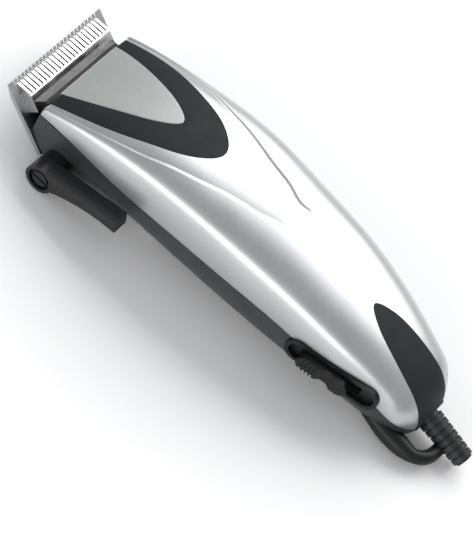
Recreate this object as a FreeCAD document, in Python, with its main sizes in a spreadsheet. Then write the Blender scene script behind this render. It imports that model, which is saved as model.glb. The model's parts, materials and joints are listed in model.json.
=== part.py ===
import FreeCAD, Part
import math
import os
import re
import Sketcher

# A mains hair clipper lying on its flat underside, in millimetres.
# +X runs from the blade to the cord, +Z is up, and the taper lever and the switch are
# on the -Y side. The origin is on the mid-plane, in the flat face it rests on.

V = FreeCAD.Vector
ALONG = V(1, 0, 0)
ACROSS = V(0, 1, 0)
UP = V(0, 0, 1)

SIZES = {
    # case
    "front_reach": 79.0,        # origin to the front edge of the shell
    "rear_reach": 84.0,         # origin to the rear end of the case
    "body_width": 52.0,
    "body_height": 41.1,
    "wall": 2.0,
    "inlay_depth": 1.2,         # thickness of the pieces let into the shell
    "inlay_gap": 0.12,
    "fit_gap": 0.05,            # radial clearance of a turning or sliding fit
    "part_gap": 0.3,            # between pieces that move past each other
    # blades
    "blade_angle": 38.0,        # slope of the blade plane
    "blade_width": 49.5,
    "blade_thickness": 1.8,
    "tip_overhang": 14.5,       # tooth tips in front of the shell
    "tip_drop": 3.4,            # tooth tips below the shell's front edge
    "heel_height": 1.4,         # blade heel above the rest face
    "tooth_pitch": 1.9,
    "tooth_gap": 0.8,
    "tooth_depth": 5.5,
    "fine_teeth": 23,
    "cutter_setback": 1.7,      # cutter teeth behind the blade teeth, taper open
    "cutter_room": 0.75,        # cutter to the inside of the case at each side
    "cutter_depth": 11.3,
    "cutter_height": 4.2,
    "cutter_pitch": 1.9,
    "cutter_teeth": 22,
    "cutter_gap": 0.8,
    "cutter_gap_depth": 4.4,
    "foot_room": 3.0,           # drive foot to the inside of the case at each side
    "foot_depth": 5.0,
    "foot_behind_teeth": 8.4,
    "foot_wall": 1.4,
    "foot_height": 4.0,
    "finger_height": 2.6,       # middle of the arm's finger above the cutter
    "carrier_start": 14.0,
    "fork_thickness": 3.0,
    "crank_web": 1.4,
    "crank_web_radius": 3.8,
    "bearing_length": 6.5,      # lever shaft's bearing inside the case wall
    "carrier_thickness": 3.0,
    "blade_screw_spacing": 22.0,
    "blade_screw_radius": 1.5,
    "blade_screw_head": 3.0,
    "blade_screw_rise": 1.3,
    # taper lever
    "hub_behind_heel": 2.94,    # lever axis from the blade's heel, along the blade
    "hub_above_blade": 6.84,    # and square to it
    "lever_hub_radius": 5.6,
    "lever_thickness": 6.5,
    "lever_neck": 2.2,          # neck's wall around the shaft
    "lever_standoff": 4.0,      # lever's inner face outside the case
    "lever_reach": 31.0,
    "lever_rise": 9.6,
    "lever_tip_width": 5.0,
    "lever_cap": 3.0,           # lever's material over the end of the shaft
    "lever_recess": 1.5,
    "lever_recess_radius": 4.3,
    "lever_screw_radius": 1.5,
    "lever_screw_rise": 1.1,
    "shaft_radius": 3.0,
    "crank_radius": 2.3,
    "crank_pin_radius": 1.4,
    "taper_travel": 1.76,
    "lever_swing": 45.0,
    # motor
    "core_length": 40.0,
    "core_start": -8.0,
    "core_stack": 14.0,
    "core_yoke": 5.0,
    "core_leg": 6.0,
    "centre_leg": 10.0,
    "motor_room": 2.0,          # core to the case at the side
    "air_gap": 1.3,
    "armature_depth": 3.5,
    "coil_room": 5.0,           # coil to the case above and below
    "bobbin_wall": 1.0,
    "arm_thickness": 3.0,
    "arm_height": 8.0,
    "arm_pivot": 42.0,
    "pivot_radius": 2.6,
    "arm_tip_height": 3.2,
    "motor_screw_radius": 1.6,
    "motor_screw_grip": 8.0,
    "anchor_base": 8.0,
    "anchor_gap": 3.0,          # block behind the arm's pivot axis
    "anchor_length": 7.0,
    "anchor_width": 9.0,
    "leaf_thickness": 0.6,
    # power adjusting screw
    "power_screw_x": -24.0,
    "power_screw_height": 12.0,
    "power_screw_radius": 2.4,
    "power_screw_length": 10.2,
    "power_screw_shoulder": 1.2,
    "power_head_height": 1.8,
    "power_boss_length": 8.0,
    # switch
    "switch_x": 51.4,
    "switch_height": 18.4,
    "switch_yaw": 9.2,
    "bezel_length": 37.0,
    "bezel_width": 10.5,
    "bezel_depth": 3.0,
    "tab_room": 6.0,            # terminals' ends to the mid-plane
    "knob_length": 20.0,
    "knob_width": 6.6,
    "knob_height": 4.2,
    "knob_travel": 5.0,
    # cord sleeve and loop
    "sleeve_length": 19.5,
    "sleeve_droop": 13.0,
    "sleeve_height": 9.6,
    "sleeve_root_radius": 4.6,
    "sleeve_end_radius": 3.9,
    "sleeve_bore_radius": 2.9,
    "sleeve_rings": 7,
    "ring_depth": 0.8,
    "flange_inside": 6.0,       # flange's inner face inside the rear end of the case
    "flange_thickness": 1.5,
    "clamp_inside": 15.0,
    "clamp_depth": 6.0,
    "clamp_width": 17.0,
    "clamp_height": 7.5,
    "clamp_screw_radius": 1.2,
    "clamp_screw_grip": 3.2,
    "clamp_ear": 2.6,
    "loop_bar": 2.3,
    "loop_side": 13.0,
    "loop_height": 4.6,
    # case screws
    "case_screw_radius": 1.5,
    "case_screw_head": 2.9,
    "case_screw_top": 3.0,      # top of the screw heads above the rest face
    "case_boss_radius": 3.6,
    "boss_wall": 2.8,           # wall of the bosses around the lever shaft and the power screw
    "slot_width": 0.8,          # screwdriver slots
}

doc = FreeCAD.newDocument("HairClipper")
sheet = doc.addObject("Spreadsheet::Sheet", "Sizes")
for row, (alias, number) in enumerate(SIZES.items(), start=1):
    sheet.set(f"A{row}", str(number))
    sheet.setAlias(f"A{row}", alias)
doc.recompute()


def size(alias):
    return float(getattr(sheet, alias))


def bound(text):
    """An expression in which each bare size name refers to its cell."""
    return re.sub(r"[a-z_]+", lambda m: "Sizes." + m[0] if m[0] in SIZES else m[0], str(text))


# ---- small makers -----------------------------------------------------------------

pieces = {}


def tie(item, path, text):
    item.setExpression(path, bound(text))


def place(item, at, axis=None, angle=0):
    if axis is not None:
        item.Placement = FreeCAD.Placement(V(0, 0, 0), FreeCAD.Rotation(axis, angle))
    for letter, text in zip("xyz", at):
        tie(item, f"Placement.Base.{letter}", text)
    return item


def box(name, lengths, at):
    item = doc.addObject("Part::Box", name)
    for path, text in zip(("Length", "Width", "Height"), lengths):
        tie(item, path, text)
    return place(item, at)


def rod(name, radius, length, at, axis=UP):
    item = doc.addObject("Part::Cylinder", name)
    tie(item, "Radius", radius)
    tie(item, "Height", length)
    turn = FreeCAD.Rotation(UP, axis)
    return place(item, at, turn.Axis, math.degrees(turn.Angle))


def solid(name, shape):
    item = doc.addObject("Part::Feature", name)
    item.Shape = shape
    return item


def joined(name, parts):
    item = doc.addObject("Part::MultiFuse", name)
    item.Shapes = parts
    return item


def less(name, base, tools):
    item = doc.addObject("Part::Cut", name)
    item.Base = base
    item.Tool = tools[0] if len(tools) == 1 else joined(name + "_tools", tools)
    return item


def group(name, parts):
    item = doc.addObject("Part::Compound", name)
    item.Links = parts
    return item


def padded(name, plane, outline, thickness, centred=True):
    """A body padded from a closed straight-sided outline; its corners are tied to sizes."""
    body = doc.addObject("PartDesign::Body", name)
    sketch = body.newObject("Sketcher::SketchObject", name + "_outline")
    face = [f for f in body.Origin.OriginFeatures if f.Role == plane][0]
    sketch.AttachmentSupport = (face, [""])
    sketch.MapMode = "FlatFace"
    doc.recompute()
    corners = [V(value_of(x), value_of(y), 0) for x, y in outline]
    last = len(corners) - 1
    for i, corner in enumerate(corners):
        sketch.addGeometry(Part.LineSegment(corner, corners[0 if i == last else i + 1]))
    for i in range(len(corners)):
        sketch.addConstraint(Sketcher.Constraint("Coincident", i, 2, 0 if i == last else i + 1, 1))
    for i, (x, y) in enumerate(outline):
        for kind, text, number in (("DistanceX", x, corners[i].x), ("DistanceY", y, corners[i].y)):
            index = sketch.addConstraint(Sketcher.Constraint(kind, -1, 1, i, 1, number))
            sketch.setExpression(f"Constraints[{index}]", bound(text))
    pad = body.newObject("PartDesign::Pad", name + "_pad")
    pad.Profile = sketch
    tie(pad, "Length", thickness)
    pad.Midplane = centred
    return body


def value_of(text):
    """The number that a size expression has now."""
    names = {alias: size(alias) for alias in SIZES}
    probe = re.sub(r"[a-z_]+", lambda m: repr(names[m[0]]) if m[0] in names else m[0], str(text))
    return float(sheet.evalExpression(probe))


def piece(name, item):
    item.Label = name
    pieces[name] = item
    return item


# ---- the case form ----------------------------------------------------------------

# One row a station from front to rear: place as a share of the reach before or behind
# the origin, half width as a share of the width, crown, parting and floor as shares of
# the height, then how square the upper and the lower corners are (2 is an ellipse).
STATIONS = (
    (-1.000, 0.462, 0.569, 0.462, -0.024, 5.0, 5.0),
    (-0.772, 0.481, 0.774, 0.489, -0.024, 4.4, 4.6),
    (-0.544, 0.496, 0.910, 0.499, -0.024, 3.9, 2.4),
    (-0.203, 0.500, 1.000, 0.540, -0.024, 3.9, 2.2),
    (0.071, 0.481, 1.000, 0.547, -0.024, 3.3, 2.3),
    (0.333, 0.452, 0.956, 0.538, -0.024, 3.2, 2.3),
    (0.595, 0.400, 0.847, 0.472, -0.024, 3.0, 2.2),
    (0.857, 0.317, 0.645, 0.375, 0.005, 3.0, 2.4),
    (0.960, 0.245, 0.490, 0.294, 0.055, 2.6, 2.3),
    (1.000, 0.150, 0.375, 0.235, 0.110, 2.2, 2.1),
)


def reach(share):
    return share * (size("rear_reach") if share > 0 else size("front_reach"))


def quarter(start, corner, end, squareness):
    """A quarter of a rounded outline: 2 is an ellipse, 5 all but fills its corner."""
    pull = (8 * 2 ** (-1 / squareness) - 4) / 3
    curve = Part.BezierCurve()
    curve.setPoles([start, start + (corner - start) * pull, end + (corner - end) * pull, end])
    return curve.toShape()


def section(station, inset):
    share, width, crown, parting, floor, upper, lower = station
    height = size("body_height")
    x = reach(share)
    if inset:
        x = x * (size("rear_reach") - inset) / size("rear_reach") if x > 0 else x
        x = x - inset if share == STATIONS[0][0] else x
    side = width * size("body_width") - inset
    top = crown * height - inset
    seam = parting * height
    bottom = (max(floor, 0) if inset else floor) * height + inset
    left, right = V(x, -side, seam), V(x, side, seam)
    high, low = V(x, 0, top), V(x, 0, bottom)
    return Part.Wire([quarter(left, V(x, -side, top), high, upper),
                      quarter(high, V(x, side, top), right, upper),
                      quarter(right, V(x, side, bottom), low, lower),
                      quarter(low, V(x, -side, bottom), left, lower)])


def case_form(name, inset):
    return solid(name, Part.makeLoft([section(s, inset) for s in STATIONS], True, False))


def above_seam(name):
    """Everything above the parting line, which arches along the case."""
    height = size("body_height")
    line = [V(reach(s[0]), 0, s[3] * height) for s in STATIONS]
    ahead, behind = line[0] - V(20, 0, 0), line[-1] + V(20, 0, 0)
    curve = Part.BSplineCurve()
    curve.interpolate([ahead] + line + [behind])
    over, under = behind + V(0, 0, 3 * height), ahead + V(0, 0, 3 * height)
    wire = Part.Wire([curve.toShape(), Part.makeLine(behind, over), Part.makeLine(over, under),
                      Part.makeLine(under, ahead)])
    face = Part.Face(wire)
    face.translate(V(0, -2 * size("body_width"), 0))
    return solid(name, face.extrude(V(0, 4 * size("body_width"), 0)))


def inlay_prism(name, points, grow=0.0):
    """An upright prism over a symmetric outline, given from its tip to the case's end."""
    half_width = size("body_width") / 2
    tip_side = 1 if points[0][0] > points[-1][0] else -1
    near = [V(reach(points[0][0]) + tip_side * grow, 0, 0)]
    near += [V(reach(x), y * half_width + grow, 0) for x, y in points[1:]]
    far = [V(p.x, -p.y, 0) for p in near[1:]]
    curve = Part.BSplineCurve()
    curve.interpolate(list(reversed(far)) + near)
    face = Part.Face(Part.Wire([curve.toShape(), Part.makeLine(near[-1], far[-1])]))
    return solid(name, face.extrude(V(0, 0, 2 * size("body_height"))))


# Outlines of the inlaid pieces: share of the reach, share of the half width.
V_OUTLINE = ((-0.298, 0), (-0.41, 0.396), (-0.527, 0.546), (-0.70, 0.704), (-0.88, 0.781), (-1.05, 0.80))
PLATE_OUTLINE = ((-0.525, 0), (-0.582, 0.18), (-0.70, 0.342), (-0.878, 0.508), (-1.05, 0.60))
REAR_OUTLINE = ((0.55, 0), (0.617, 0.165), (0.72, 0.254), (0.871, 0.312), (1.03, 0.30))



def common(name, base, tool):
    item = doc.addObject("Part::Common", name)
    item.Base = base
    item.Tool = tool
    return item


case = case_form("case_form", 0)
cavity = case_form("cavity", size("wall"))
inlay_bed = case_form("inlay_bed", size("inlay_depth"))
upper_form = common("upper_form", case, above_seam("above_seam"))
lower_form = less("lower_form", case, [above_seam("above_seam_again")])


def pocket(name, outline):
    return less(name, inlay_prism(name + "_prism", outline, size("inlay_gap")), [inlay_bed])


def inlay(name, outline, tools):
    blank = common(name + "_blank", upper_form, inlay_prism(name + "_prism", outline))
    return less(name + "_solid", blank, [inlay_bed] + tools)


# ---- frames of the blade and of the switch ----------------------------------------

slope = math.radians(size("blade_angle"))
tip_x = -size("front_reach") - size("tip_overhang")
tip_z = STATIONS[0][2] * size("body_height") - size("tip_drop")
heel_fall = (size("blade_thickness") * math.cos(slope) + size("heel_height")) / math.sin(slope)
blade_length = tip_z / math.sin(slope) - heel_fall
on_blade = FreeCAD.Placement(V(tip_x, 0, tip_z), FreeCAD.Rotation(ACROSS, size("blade_angle")))
hub_on_blade = V(blade_length + size("hub_behind_heel"), 0, size("hub_above_blade"))
hub = on_blade.multVec(hub_on_blade)


def section_half_width(x, z):
    """Half width of the case at a point of its lower side, between stations."""
    places = [reach(s[0]) for s in STATIONS]
    after = next(i for i, p in enumerate(places) if p >= x)
    share = (x - places[after - 1]) / (places[after] - places[after - 1])
    row = [a + share * (b - a) for a, b in zip(STATIONS[after - 1], STATIONS[after])]
    seam, floor = row[3] * size("body_height"), row[4] * size("body_height")
    fall = min(max((seam - z) / (seam - floor), 0), 1)
    return row[1] * size("body_width") * (1 - fall ** row[6]) ** (1 / row[6])


case_side = section_half_width(hub.x, hub.z + size("shaft_radius") + size("lever_neck"))
switch_side = section_half_width(size("switch_x"), size("switch_height"))
switch_turn = FreeCAD.Rotation(UP, size("switch_yaw")) * FreeCAD.Rotation(ALONG, 90)
on_switch = FreeCAD.Placement(V(size("switch_x"), -switch_side + 0.6, size("switch_height")), switch_turn)
power_side = section_half_width(size("power_screw_x"), size("power_screw_height"))
motor_height = size("body_height") / 2

# Expressions for places that several pieces share.
POLE = "(arm_thickness / 2 + armature_depth + air_gap)"
LEG = f"(body_width * {STATIONS[5][1]} - wall - motor_room - core_yoke - {POLE})"
MOUTH_HALF = f"(body_width * {STATIONS[0][1]} - wall)"
CARRIER_HALF = f"({MOUTH_HALF} - bearing_length)"
CUTTER_WIDTH = f"2 * ({MOUTH_HALF} - cutter_room)"
FOOT_WIDTH = f"2 * ({MOUTH_HALF} - foot_room)"
FOOT_START = "(cutter_setback + foot_behind_teeth)"
CORE_LOW = f"({motor_height} - core_stack / 2)"
ANCHOR_MIDDLE = "(arm_pivot + anchor_gap + anchor_length / 2)"
CLAMP_SCREWS = ("-clamp_width / 2 + clamp_ear", "clamp_width / 2 - clamp_ear")
along_sleeve = FreeCAD.Placement(V(size("rear_reach"), 0, size("sleeve_height")),
                                 FreeCAD.Rotation(ACROSS, size("sleeve_droop")))


def settle(item, placement):
    item.Placement = placement
    return item


# ---- case -------------------------------------------------------------------------

CASE_SCREWS = ((-0.36, 0.56), (-0.36, -0.56), (0.72, 0.0))


def case_screw_points():
    half = size("body_width") / 2
    return [(reach(x), y * half) for x, y in CASE_SCREWS]


def case_boss(name, x, y, low, high, form):
    post = rod(name + "_post", "case_boss_radius", f"{high} - ({low})", (x, y, low))
    return common(name, post, form)


def stadium(name, length, width, depth, low):
    """A slot-shaped block lying along X, standing from low to low + depth."""
    length, width = f"({length})", f"({width})"
    middle = box(name + "_middle", (f"{length} - {width}", width, depth),
                 (f"-({length} - {width}) / 2", f"-{width} / 2", low))
    ends = [rod(f"{name}_end_{side}", f"{width} / 2", depth, (f"{sign}({length} - {width}) / 2", 0, low))
            for side, sign in (("front", "-"), ("rear", ""))]
    return joined(name, [middle] + ends)


def bearing_end():
    """Y of the inner end of the lever shaft's bearing, clear of the crank web."""
    return -value_of(CARRIER_HALF) - 2 * size("part_gap") - size("crank_web")


def make_case():
    below = box("below_rest_face", ("4 * front_reach", "4 * body_width", "body_height"),
                ("-2 * front_reach", "-2 * body_width", "-body_height"))
    outside_block = box("outside_block", ("2 * front_reach", "2 * body_width", "2 * body_height"),
                        ("-tip_overhang", "-body_width", "-2 * body_height + part_gap"))
    outside_blade = settle(group("outside_blade", [outside_block]), on_blade)
    bezel_room = settle(stadium("bezel_room", "bezel_length + 2 * inlay_gap", "bezel_width + 2 * inlay_gap",
                                "4 * bezel_depth", "-bezel_depth - inlay_gap"), on_switch)
    stem_block = box("stem_block", ("knob_length + knob_travel + 3", "knob_width + 2", "5 * bezel_depth"),
                     ("-(knob_length + knob_travel + 3) / 2", "-knob_width / 2 - 1", "-4 * bezel_depth"))
    stem_room = settle(group("stem_room", [stem_block]), on_switch)
    neck = Part.makeCylinder(size("sleeve_root_radius") - size("ring_depth") + size("fit_gap"),
                             size("flange_inside") + 2 * size("wall"), V(-size("flange_inside"), 0, 0), ALONG)
    flange = Part.makeCylinder(size("sleeve_root_radius") + size("ring_depth") + size("fit_gap"),
                               size("flange_thickness") + 2 * size("fit_gap"),
                               V(-size("flange_inside") - size("fit_gap"), 0, 0), ALONG)
    neck_room = solid("neck_room", neck.fuse(flange))
    settle(neck_room, along_sleeve)

    # lower housing
    boss_start, boss_end = -case_side - 1, bearing_end()
    lever_boss = rod("lever_boss", "shaft_radius + boss_wall", boss_end - boss_start,
                     (hub.x, boss_start, hub.z), ACROSS)
    power_boss = rod("power_boss", "power_screw_radius + boss_wall", "power_boss_length",
                     ("power_screw_x", power_side + 1, "power_screw_height"), -ACROSS)
    shaft_room = rod("shaft_room", "shaft_radius + fit_gap", "body_width / 2",
                     (hub.x, "-body_width * 0.75", hub.z), ACROSS)
    crank_room = rod("crank_room", "crank_web_radius + part_gap", "crank_web + fork_thickness + 1.5",
                     (hub.x, boss_end, hub.z), ACROSS)
    power_room = rod("power_room", "power_screw_radius + fit_gap", "body_width / 2",
                     ("power_screw_x", "body_width * 0.75", "power_screw_height"), -ACROSS)
    posts = []
    holes = []
    for number, (x, y) in enumerate(case_screw_points()):
        posts.append(case_boss(f"lower_boss_{number}", x, y, "0", "body_height / 2", lower_form))
        holes.append(rod(f"screw_head_room_{number}", "case_screw_head + part_gap", "case_screw_top + part_gap",
                         (x, y, "0")))
        holes.append(rod(f"screw_room_{number}", "case_screw_radius + inlay_gap", "body_height / 2 + 1",
                         (x, y, "0")))
    for number, (x, y) in enumerate(motor_screw_points()):
        posts.append(case_boss(f"motor_post_{number}", x, y, "0", CORE_LOW, lower_form))
        holes.append(rod(f"motor_screw_room_{number}", "motor_screw_radius", "motor_screw_grip",
                         (x, y, f"{CORE_LOW} - motor_screw_grip")))
    posts.append(case_boss("anchor_post", value_of(ANCHOR_MIDDLE), 0, "0", "anchor_base", lower_form))
    clamp = along_sleeve.multVec(V(-size("clamp_inside"), 0, 0))
    clamp_low = f"{clamp.z} - clamp_height / 2"
    for number, y in enumerate(CLAMP_SCREWS):
        posts.append(case_boss(f"clamp_post_{number}", clamp.x, y, "0", clamp_low, lower_form))
        holes.append(rod(f"clamp_post_room_{number}", "clamp_screw_radius", "clamp_screw_grip",
                         (clamp.x, y, f"{clamp_low} - clamp_screw_grip")))
    hollow = less("lower_hollow", lower_form, [cavity, below])
    rims = [common("lever_boss_in_case", lever_boss, lower_form),
            common("power_boss_in_case", power_boss, lower_form)]
    filled = joined("lower_filled", [hollow] + rims + posts)
    rooms = [outside_blade, shaft_room, crank_room, power_room, bezel_room, stem_room, neck_room]
    piece("lower_housing", less("lower_housing_solid", filled, rooms + holes))

    # upper shell and what is let into it
    shell = less("upper_hollow", upper_form, [cavity])
    points = list(enumerate(case_screw_points()))
    upper_posts = [case_boss(f"upper_boss_{number}", x, y, "body_height / 4", "body_height", upper_form)
                   for number, (x, y) in points]
    screw_bores = [rod(f"upper_screw_room_{number}", "case_screw_radius", "body_height / 2 + 2.5", (x, y, "0"))
                   for number, (x, y) in points]
    pockets = [pocket("head_pocket", V_OUTLINE), pocket("rear_pocket", REAR_OUTLINE)]
    filled = joined("upper_filled", [shell] + upper_posts)
    piece("upper_shell", less("upper_shell_solid", filled,
                              pockets + [bezel_room, stem_room, neck_room] + screw_bores))
    plate_room = inlay_prism("plate_room", PLATE_OUTLINE, size("inlay_gap"))
    piece("head_insert", inlay("head_insert", V_OUTLINE, [plate_room]))
    piece("head_plate", inlay("head_plate", PLATE_OUTLINE, []))
    piece("rear_insert", inlay("rear_insert", REAR_OUTLINE, [neck_room]))

    screws = []
    for number, (x, y) in enumerate(case_screw_points()):
        head = rod(f"case_screw_head_{number}", "case_screw_head", "case_screw_top - 1", (x, y, "1"))
        shank = rod(f"case_screw_shank_{number}", "case_screw_radius", "body_height / 2 - 1", (x, y, "2.5"))
        slot = box(f"case_screw_slot_{number}", ("slot_width", "8", "1"),
                   (f"{x} - slot_width / 2", y - 4, "0.4"))
        screws.append(less(f"case_screw_{number}", joined(f"case_screw_blank_{number}", [head, shank]), [slot]))
    piece("case_screws", group("case_screws_group", screws))


def motor_screw_points():
    start = size("core_start")
    side = value_of(f"{POLE} + {LEG} + core_yoke / 2")
    ends = size("core_leg") / 2
    return [(start + ends, side), (start + size("core_length") - ends, side)]


make_case()


# ---- blades, in the frame of the blade plane --------------------------------------
# There local X runs from the tooth tips to the heel, local Z points into the case, and
# the fixed blade and the cutter meet at Z = 0.

def slotted(name, blank, count, pitch, gap, depth, start, height):
    """The blank with a row of slots cut in from its front edge."""
    first = -(count - 1) / 2 * size(pitch)
    tools = [box(f"{name}_gap_{i}", (f"{depth} + 2", gap, height),
                 (f"{start} - 2", f"{first + i * size(pitch)} - {gap} / 2", f"-{height} / 2"))
             for i in range(count)]
    return less(name + "_slotted", blank, tools)


def make_blades():
    length = blade_length
    profile = [("0", "0"), ("0", "-0.35"), ("tooth_depth", "-blade_thickness"), (length, "-blade_thickness"),
               (length, "0")]
    blank = padded("fixed_blade_blank", "XZ_Plane", profile, "blade_width")
    gaps = int(size("fine_teeth")) + 1
    toothed = slotted("fixed_blade", blank, gaps, "tooth_pitch", "tooth_gap", "tooth_depth", "0",
                      "4 * blade_thickness")
    screw_x = "(carrier_start + 7)"
    sides = (("left", "-blade_screw_spacing / 2"), ("right", "blade_screw_spacing / 2"))
    holes = [rod(f"blade_hole_{side}", "blade_screw_radius + fit_gap", "2 * blade_thickness",
                 (screw_x, y, "-1.5 * blade_thickness")) for side, y in sides]
    piece("fixed_blade", settle(less("fixed_blade_drilled", toothed, holes), on_blade))

    profile = [("cutter_setback", "fit_gap"), ("cutter_setback", "0.6"),
               ("cutter_setback + 3.9", "cutter_height - 0.2"), ("cutter_setback + 5", "cutter_height"),
               ("cutter_setback + cutter_depth", "cutter_height"), ("cutter_setback + cutter_depth", "fit_gap")]
    blank = padded("cutter_blank", "XZ_Plane", profile, CUTTER_WIDTH)
    toothed = slotted("cutter", blank, int(size("cutter_teeth")), "cutter_pitch", "cutter_gap",
                      "cutter_gap_depth", "cutter_setback", "3 * cutter_height")
    piece("moving_blade", settle(toothed, on_blade))

    profile = [(FOOT_START, "cutter_height"), (FOOT_START, "cutter_height + foot_height - 1"),
               (f"{FOOT_START} + 1", "cutter_height + foot_height"),
               (f"{FOOT_START} + foot_depth", "cutter_height + foot_height"),
               (f"{FOOT_START} + foot_depth", "cutter_height")]
    blank = padded("foot_blank", "XZ_Plane", profile, FOOT_WIDTH)
    finger_room = box("finger_room", ("foot_depth", "arm_thickness + 2 * fit_gap", "foot_height + 2"),
                      (f"{FOOT_START} + foot_wall", "-arm_thickness / 2 - fit_gap", "cutter_height + 0.6"))
    piece("drive_foot", settle(less("drive_foot_solid", blank, [finger_room]), on_blade))

    # carrier with a fork over the crank pin
    pin = pin_on_blade()
    slot_half = size("crank_pin_radius") + size("fit_gap")
    plate = box("carrier_plate", (f"{length} - 2.5 - carrier_start", f"2 * {CARRIER_HALF}", "carrier_thickness"),
                ("carrier_start", f"-{CARRIER_HALF}", "0"))
    back = pin.x + slot_half + 1.7
    under_back, under_front = max(pin.z + 0.1, above_floor(back)), max(1, above_floor(pin.x - slot_half))
    fork_profile = [(length - 4.5, "0"), (length - 4.5, pin.z + 4), (back, pin.z + 4), (back, under_back),
                    (pin.x + slot_half, pin.z - 1.2), (pin.x + slot_half, pin.z + 1.9),
                    (pin.x - slot_half, pin.z + 1.9), (pin.x - slot_half, under_front)]
    fork = padded("carrier_fork", "XZ_Plane", fork_profile, "fork_thickness")
    place(fork, ("0", f"-{CARRIER_HALF} + fork_thickness / 2", "0"))
    threads = [rod(f"carrier_thread_{side}", "blade_screw_radius", "2 * carrier_thickness",
                   (screw_x, y, "-carrier_thickness / 2")) for side, y in sides]
    piece("blade_carrier", settle(less("blade_carrier_solid", joined("carrier_blank", [plate, fork]), threads),
                                  on_blade))

    screws = []
    for side, y in sides:
        head = rod(f"blade_screw_head_{side}", "blade_screw_head", "blade_screw_rise",
                   (screw_x, y, "-blade_thickness - blade_screw_rise"))
        shank = rod(f"blade_screw_shank_{side}", "blade_screw_radius", "blade_thickness + carrier_thickness",
                    (screw_x, y, "-blade_thickness"))
        slot = box(f"blade_screw_slot_{side}", ("8", "slot_width", "1"),
                   (f"{screw_x} - 4", f"{y} - slot_width / 2", "-blade_thickness - blade_screw_rise - 0.5"))
        screws.append(less(f"blade_screw_{side}", joined(f"blade_screw_blank_{side}", [head, shank]), [slot]))
    piece("blade_screws", settle(group("blade_screws_group", screws), on_blade))


def above_floor(x):
    """Height over the blade plane at which the carrier clears the case's floor, lever closed."""
    clear = size("wall") + size("taper_travel") * math.sin(slope) + 3 * size("part_gap")
    return (clear - tip_z + x * math.sin(slope)) / math.cos(slope)


def pin_on_blade():
    """Crank pin at rest: half the swing short of straight below the hub."""
    angle = math.radians(-90 - size("lever_swing") / 2)
    return hub_on_blade + V(size("crank_radius") * math.cos(angle), 0, size("crank_radius") * math.sin(angle))


make_blades()


# ---- taper lever ------------------------------------------------------------------

def make_lever():
    inner = -case_side - size("lever_standoff")
    outer = inner - size("lever_thickness")
    cap = size("lever_cap")
    tip = V(hub.x + size("lever_reach"), 0, hub.z + size("lever_rise"))
    # hub, arm and tip in side view
    radius, screw_radius = size("lever_hub_radius"), size("lever_screw_radius")
    lean = math.atan2(size("lever_rise"), size("lever_reach"))
    over = V(-math.sin(lean), 0, math.cos(lean))
    half_tip = size("lever_tip_width") / 2
    bow = V(0, 0, 1.2)
    middle = (hub + tip) * 0.5
    top = Part.Arc(hub + over * (radius - 0.6), middle + over * 2.6 + bow, tip + over * half_tip).toShape()
    end = Part.makeLine(tip + over * half_tip, tip - over * half_tip)
    under = Part.Arc(tip - over * half_tip, middle - over * 2.2 + bow, hub - over * (radius - 1.4)).toShape()
    close = Part.makeLine(hub - over * (radius - 1.4), hub + over * (radius - 0.6))
    arm = Part.Face(Part.Wire([top, end, under, close]))
    arm.translate(V(0, outer, 0))
    arm_solid = arm.extrude(V(0, size("lever_thickness"), 0))
    hub_solid = Part.makeCylinder(radius, -outer + inner, V(hub.x, outer, hub.z), ACROSS)
    neck = Part.makeCylinder(size("shaft_radius") + size("lever_neck"),
                             size("lever_standoff") - size("part_gap"), V(hub.x, inner, hub.z), ACROSS)
    recess = Part.makeCylinder(size("lever_recess_radius"), size("lever_recess"),
                               V(hub.x, outer, hub.z), ACROSS)
    shaft_seat = Part.makeCylinder(size("shaft_radius"), radius * 4, V(hub.x, outer + cap, hub.z), ACROSS)
    screw_hole = Part.makeCylinder(screw_radius, cap, V(hub.x, outer, hub.z), ACROSS)
    lever = arm_solid.fuse([hub_solid, neck]).cut([recess, shaft_seat, screw_hole])
    piece("taper_lever", solid("taper_lever_solid", lever.removeSplitter()))

    # shaft with its crank web and pin
    web_start = bearing_end() + size("part_gap")
    shaft = Part.makeCylinder(size("shaft_radius"), web_start - outer - cap,
                              V(hub.x, outer + cap, hub.z), ACROSS)
    pin = on_blade.multVec(pin_on_blade())
    pin_end = -value_of(CARRIER_HALF) + size("fork_thickness") + size("part_gap")
    web = Part.makeCylinder(size("crank_web_radius"), size("crank_web"), V(hub.x, web_start, hub.z), ACROSS)
    crank = Part.makeCylinder(size("crank_pin_radius"), pin_end - web_start, V(pin.x, web_start, pin.z), ACROSS)
    thread = Part.makeCylinder(screw_radius, 9, V(hub.x, outer, hub.z), ACROSS)
    piece("lever_shaft", solid("lever_shaft_solid", shaft.fuse([web, crank]).cut(thread)))

    head_top = outer + size("lever_recess") - size("lever_screw_rise")
    head = Part.makeCylinder(2 * screw_radius, size("lever_screw_rise"), V(hub.x, head_top, hub.z), ACROSS)
    shank = Part.makeCylinder(screw_radius, 6.5, V(hub.x, outer + size("lever_recess"), hub.z), ACROSS)
    slot_width = size("slot_width")
    slot = Part.makeBox(8, 1.0, slot_width, V(hub.x - 4, head_top - 0.5, hub.z - slot_width / 2))
    piece("lever_screw", solid("lever_screw_solid", head.fuse(shank).cut(slot)))


make_lever()


# ---- motor ------------------------------------------------------------------------

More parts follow.
